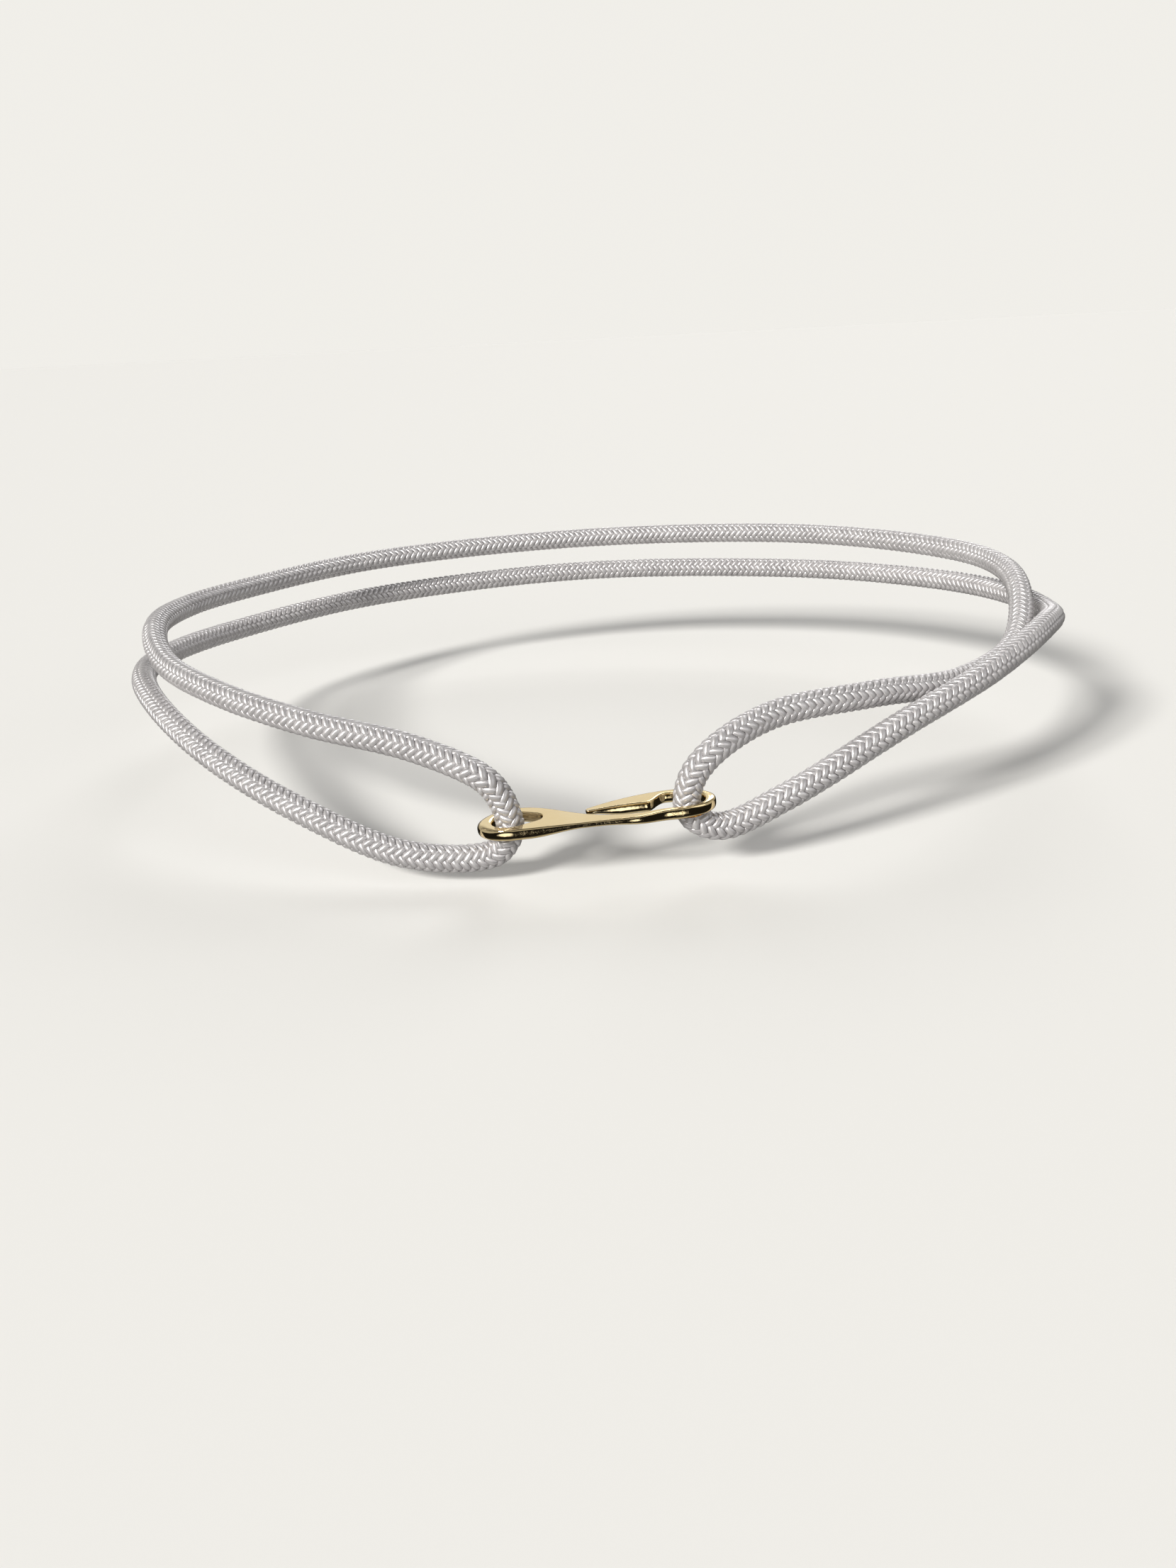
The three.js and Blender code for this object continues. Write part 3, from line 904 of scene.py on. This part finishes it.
# %% [markdown]
# ## Polished gold
# The plate is a cast alloy with a bright pale gold plating. Its face is like a mirror, with the
# faint ripple of the casting, and its front edge keeps a fine grain, which catches the light as
# sparks. Metal has no colour but that of its reflections, so the shader is a plain metal, and the
# noise only moves its roughness and its bump. How much grain a place has is stored on the mesh.

# %% The clasp's material
GOLD_STOPS = [(0, (0.88, 0.69, 0.37, 1)), (1, (0.93, 0.76, 0.46, 1))]
GRAIN_SCALE, RIPPLE_SCALE = 1600.0, 420.0
GRAIN_FLOOR, GRAIN_CREST, GRAIN_DEPTH = 0.50, 0.80, 0.3


def gold_material():
    material, tree, shader = new_material("polished pale gold")
    where = add_node(tree, "ShaderNodeTexCoord", (-1200, 0))
    mask = add_node(tree, "ShaderNodeAttribute", (-1000, -400), attribute_name="wall")
    grit_looks = {"Scale": GRAIN_SCALE, "Detail": 3.0, "Roughness": 0.7}
    grit = add_node(tree, "ShaderNodeTexNoise", (-1000, -100), grit_looks)
    few_looks = {"From Min": GRAIN_FLOOR, "From Max": GRAIN_CREST}
    few = add_node(tree, "ShaderNodeMapRange", (-800, -100), few_looks)
    ripple = add_node(tree, "ShaderNodeTexNoise", (-1000, 200), {"Scale": RIPPLE_SCALE})
    kept = add_node(tree, "ShaderNodeMath", (-600, -200), operation="MULTIPLY")
    height = add_node(
        tree, "ShaderNodeMath", (-400, -100), {1: -GRAIN_DEPTH}, operation="MULTIPLY_ADD"
    )
    bump = add_node(tree, "ShaderNodeBump", (-200, -200), {"Strength": 0.2, "Distance": 0.0002})
    ramp = add_ramp(tree, GOLD_STOPS, (-350, 250))
    join(
        tree,
        (where, "Object", grit, "Vector"),
        (where, "Object", ripple, "Vector"),
        (grit, "Fac", few, "Value"),
        (few, "Result", kept, 0),
        (mask, "Fac", kept, 1),
        (kept, "Value", height, 0),
        (ripple, "Fac", height, 2),
        (height, "Value", bump, "Height"),
        (bump, "Normal", shader, "Normal"),
        (mottling(tree, 70.0, 0.0, 1.0, (-600, 250)), "Value", ramp, "Fac"),
        (ramp, "Color", shader, "Base Color"),
        (mottling(tree, 120.0, 0.05, 0.10, (-600, 50)), "Value", shader, "Roughness"),
    )
    shader.inputs["Metallic"].default_value = 1.0
    return material


plate.data.materials.append(gold_material())
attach(plate, "root")
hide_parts("hook_clasp")
print("material:", plate.data.materials[0].name)

# %% [markdown]
# ## The studio
# A plain pale floor lies under the belt, and large soft lamps stand to the upper left, to the
# right and behind. A mirror shows whatever faces it, so the sky is pale above and dark below: the
# clasp's flat face stays bright while its edge turns dark, which lets one read its shape.

# %% Floor and lamps
FLOOR_AT, FLOOR_REACH = -0.038, 4
round_about = ((-1, -1), (1, -1), (1, 1), (-1, 1))
floor_corners = [(x * FLOOR_REACH, y * FLOOR_REACH, FLOOR_AT) for x, y in round_about]
floor_mesh = bpy.data.meshes.new("floor")
floor_mesh.from_pydata(floor_corners, [], [(0, 1, 2, 3)])
floor = new_object("floor", floor_mesh)
floor_paint, _, floor_shader = new_material("pale floor")
floor_shader.inputs["Base Color"].default_value = (0.81, 0.80, 0.775, 1)
floor_shader.inputs["Roughness"].default_value = 0.9
floor.data.materials.append(floor_paint)
floor.visible_glossy = False


def sun(name, towards, power, width, colour):
    """A far lamp in the given direction; width is its size in the sky, in degrees."""
    data = bpy.data.lights.new(name, "SUN")
    data.energy, data.color, data.angle = power, colour, math.radians(width)
    item = new_object(name, data)
    item.rotation_euler = Vector(towards).to_track_quat("Z", "Y").to_euler()


sun("key light", (-0.66, -0.62, 0.62), 3.6, 14, (1.0, 0.985, 0.95))
sun("fill light", (0.75, -0.60, 0.55), 0.35, 40, (0.93, 0.95, 1.0))
sun("back light", (0.25, 0.85, 0.60), 0.65, 30, (1.0, 1.0, 1.0))
bpy.context.scene.view_settings.view_transform = "Standard"

# %% [markdown]
# ## The sky
# A sky can be more than one colour. Here it is a ramp on the height of each direction: softer
# overhead, pale down to the horizon, dark below it, and pale again straight down. Three oval
# patches of light are added, like light boxes: a wide faint one behind, and two small ones low at
# the front, which the gold shows as bright ovals on its front edge. Where the camera looks
# straight at the sky it sees one even tone, the far floor's own, so that no horizon shows.

# %% Build the sky
PALE, SOFT, DARK = (0.46, 0.455, 0.44, 1), (0.10, 0.10, 0.10, 1), (0.012, 0.011, 0.010, 1)
BACKDROP = (0.876, 0.859, 0.815, 1)
HEIGHTS = [(-0.92, PALE), (-0.74, DARK), (-0.03, DARK), (0.05, PALE), (0.42, PALE), (0.75, SOFT)]
# where each stands, its half width, how much lower than wide it is, and its strength
LIGHT_BOXES = {
    "behind": ((0.05, 0.92, 0.38), 0.70, 1.6, 0.36),
    "low on the left": ((-0.39, -0.83, -0.39), 0.34, 3.5, 1.5),
    "low in front": ((0.20, -0.89, -0.40), 0.15, 1.9, 1.7),
}
BRIGHT_SHARE = 0.6
# a colour Mix node's own sockets, counted among those of its other kinds
FACTOR, FIRST, SECOND, MIXED = 0, 6, 7, 2

world = bpy.data.worlds.new("studio sky")
bpy.context.scene.world = world
world.use_nodes = True
sky = world.node_tree
direction = add_node(sky, "ShaderNodeTexCoord", (-1300, 0))
height = add_node(sky, "ShaderNodeSeparateXYZ", (-1100, 0))
share = add_node(sky, "ShaderNodeMapRange", (-900, 0), {"From Min": -1.0})
tint = add_ramp(sky, [((at + 1) / 2, colour) for at, colour in HEIGHTS], (-700, 0))


def light_box(towards, width, flatness, strength, at):
    """A soft oval patch of sky, brightest in its middle."""
    kind, (x, y), middle = "ShaderNodeVectorMath", at, Vector(towards).normalized()
    off = add_node(sky, kind, at, {1: middle}, operation="SUBTRACT")
    squash = add_node(sky, kind, (x + 150, y), {1: (1, 1, flatness)}, operation="MULTIPLY")
    reach = add_node(sky, kind, (x + 300, y), operation="LENGTH")
    edge_looks = {"From Min": width, "From Max": width * BRIGHT_SHARE, "To Max": strength}
    edge = add_node(sky, "ShaderNodeMapRange", (x + 450, y), edge_looks)
    join(
        sky,
        (direction, "Generated", off, 0),
        (off, "Vector", squash, 0),
        (squash, "Vector", reach, 0),
        (reach, "Value", edge, "Value"),
    )
    return edge, "Result"


boxes = [light_box(*row, (-1100, -300 - 250 * i)) for i, row in enumerate(LIGHT_BOXES.values())]
total = boxes[0]
for box in boxes[1:]:
    both = add_node(sky, "ShaderNodeMath", (-400, -300), operation="ADD")
    join(sky, (*total, both, 0), (*box, both, 1))
    total = (both, "Value")

lit = add_node(sky, "ShaderNodeMix", (-200, 0), {FACTOR: 1.0}, data_type="RGBA", blend_type="ADD")
eye_sees = add_node(sky, "ShaderNodeLightPath", (-400, 300))
shown = add_node(sky, "ShaderNodeMix", (0, 0), {SECOND: BACKDROP}, data_type="RGBA")
join(
    sky,
    (direction, "Generated", height, "Vector"),
    (height, "Z", share, "Value"),
    (share, "Result", tint, "Fac"),
    (tint, "Color", lit, FIRST),
    (*total, lit, SECOND),
    (eye_sees, "Is Camera Ray", shown, FACTOR),
    (lit, MIXED, shown, FIRST),
    (shown, MIXED, sky.nodes["Background"], "Color"),
)
print("heights in the sky:", len(HEIGHTS), " light boxes:", len(LIGHT_BOXES))
